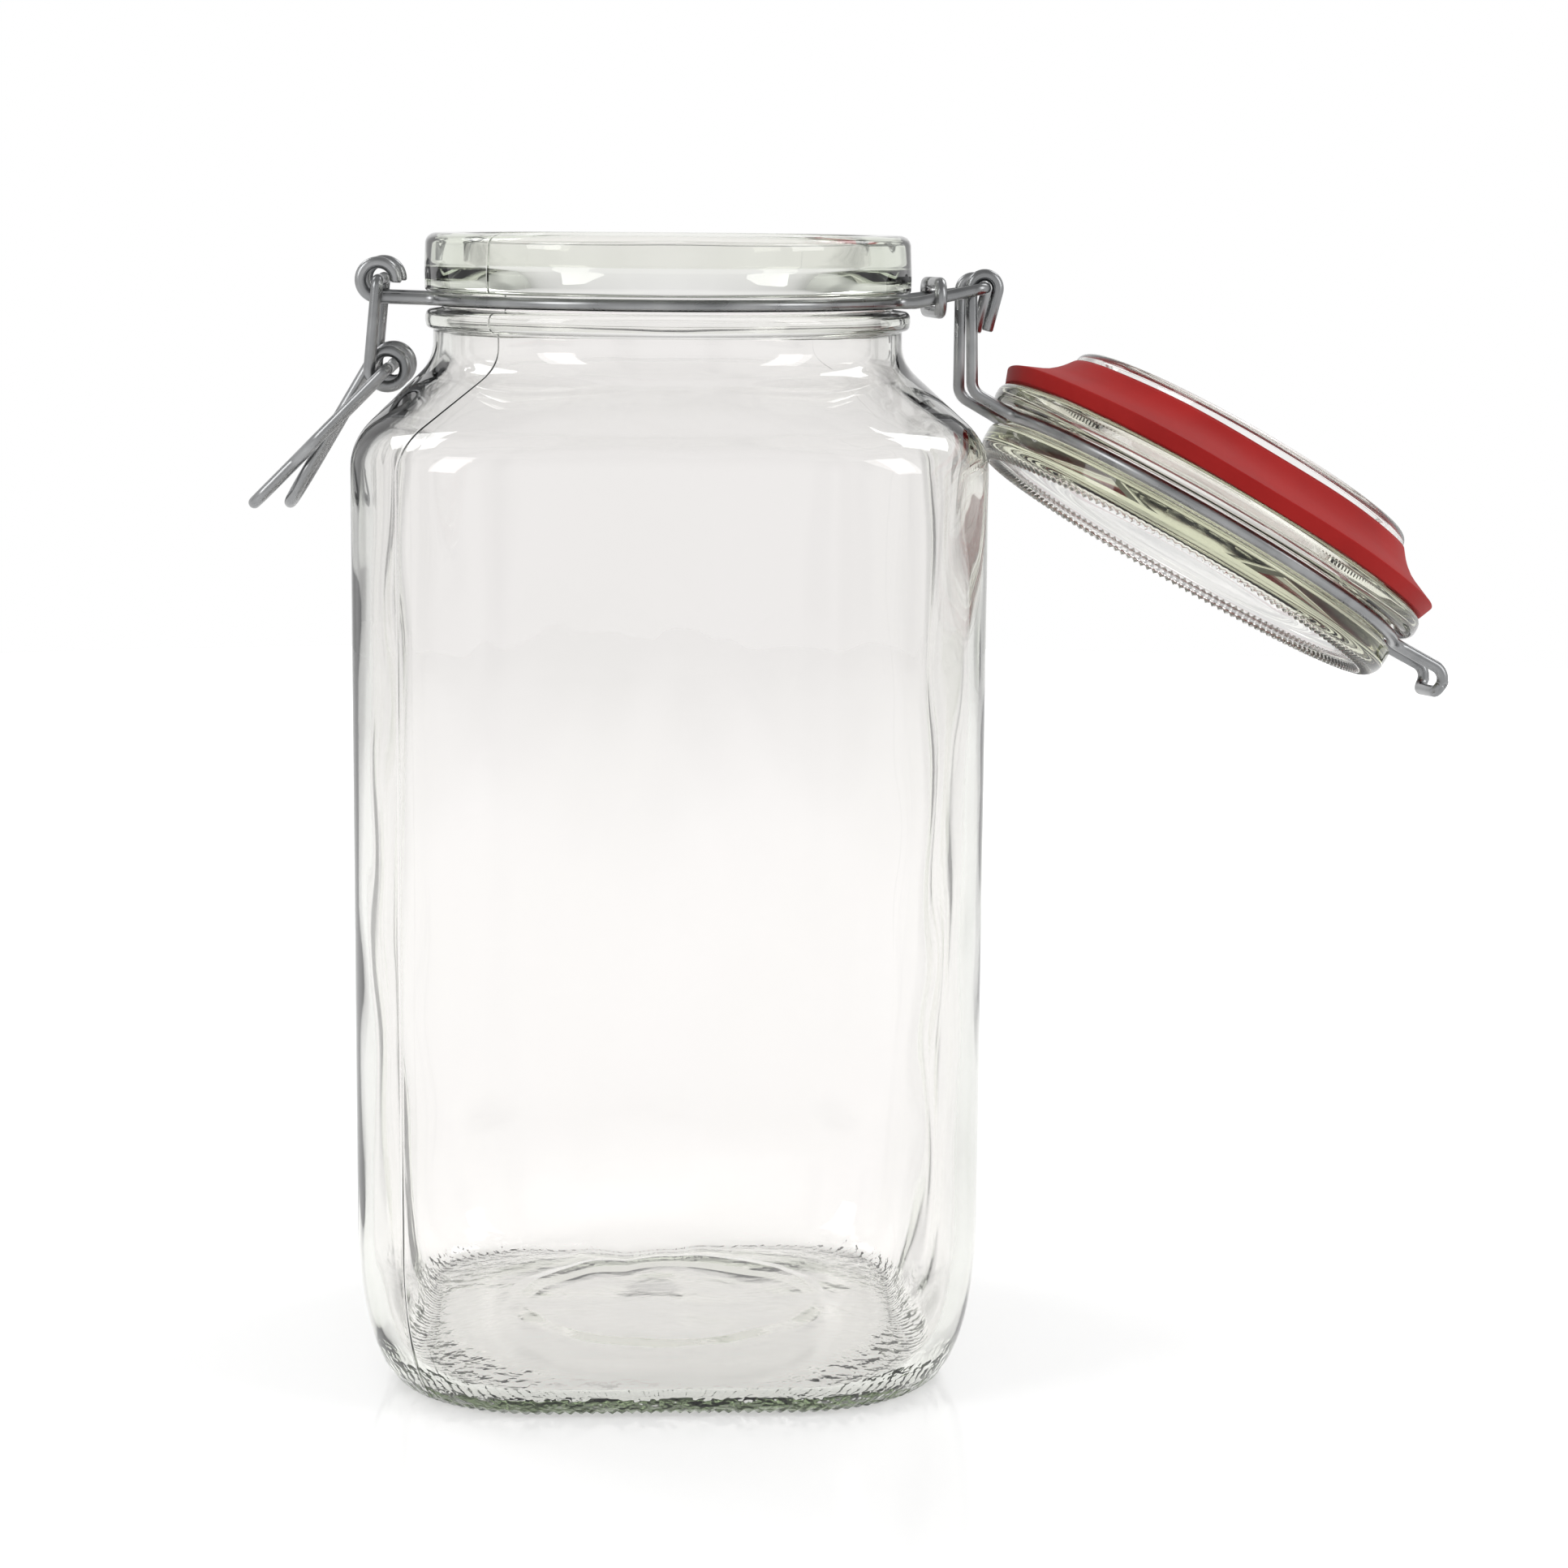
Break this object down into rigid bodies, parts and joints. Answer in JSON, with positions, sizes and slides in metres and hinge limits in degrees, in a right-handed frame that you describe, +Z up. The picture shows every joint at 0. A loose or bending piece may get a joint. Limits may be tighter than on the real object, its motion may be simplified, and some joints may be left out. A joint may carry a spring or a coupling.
{
  "type": "clip-top storage jar",
  "caption": "Tall square glass canister with a round neck and a hinged glass lid, sealed by a rubber ring and closed by a bent-wire toggle clip.",
  "frame": {"origin": "middle of the flat underside of the jar, where it stands", "axes": "+Z up along the jar's axis, +X towards the lid hinge, +Y completes a right-handed frame"},
  "size_m": [0.2572, 0.132, 0.2425],
  "materials": {
    "clear_glass": "clear pressed soda-lime glass with a faint green tint",
    "steel_wire": "satin zinc-plated drawn steel wire",
    "red_rubber": "matte red natural rubber"
  },
  "bodies": {
    "jar": {"jar_glass": "clear_glass", "neck_wire": "steel_wire", "keeper_ring": "steel_wire"},
    "lid": {"lid_glass": "clear_glass", "gasket": "red_rubber", "lid_wire": "steel_wire"},
    "lever": {"latch_lever": "steel_wire"},
    "bail": {"latch_bail": "steel_wire"}
  },
  "joints": [
    {"name": "lid_hinge", "type": "hinge", "parent": "jar", "child": "lid", "pos_m": [0.0666, 0, 0.2312], "axis": [0, -0.999, 0.0454], "range_deg": [0, 210]},
    {"name": "lever_pivot", "type": "hinge", "parent": "jar", "child": "lever", "pos_m": [-0.061, 0, 0.2326], "axis": [0, 1, 0], "range_deg": [0, 178]},
    {"name": "bail_pivot", "type": "hinge", "parent": "lever", "child": "bail", "pos_m": [-0.05909, 0, 0.2142], "axis": [0, 1, 0], "range_deg": [0, 135]}
  ]
}
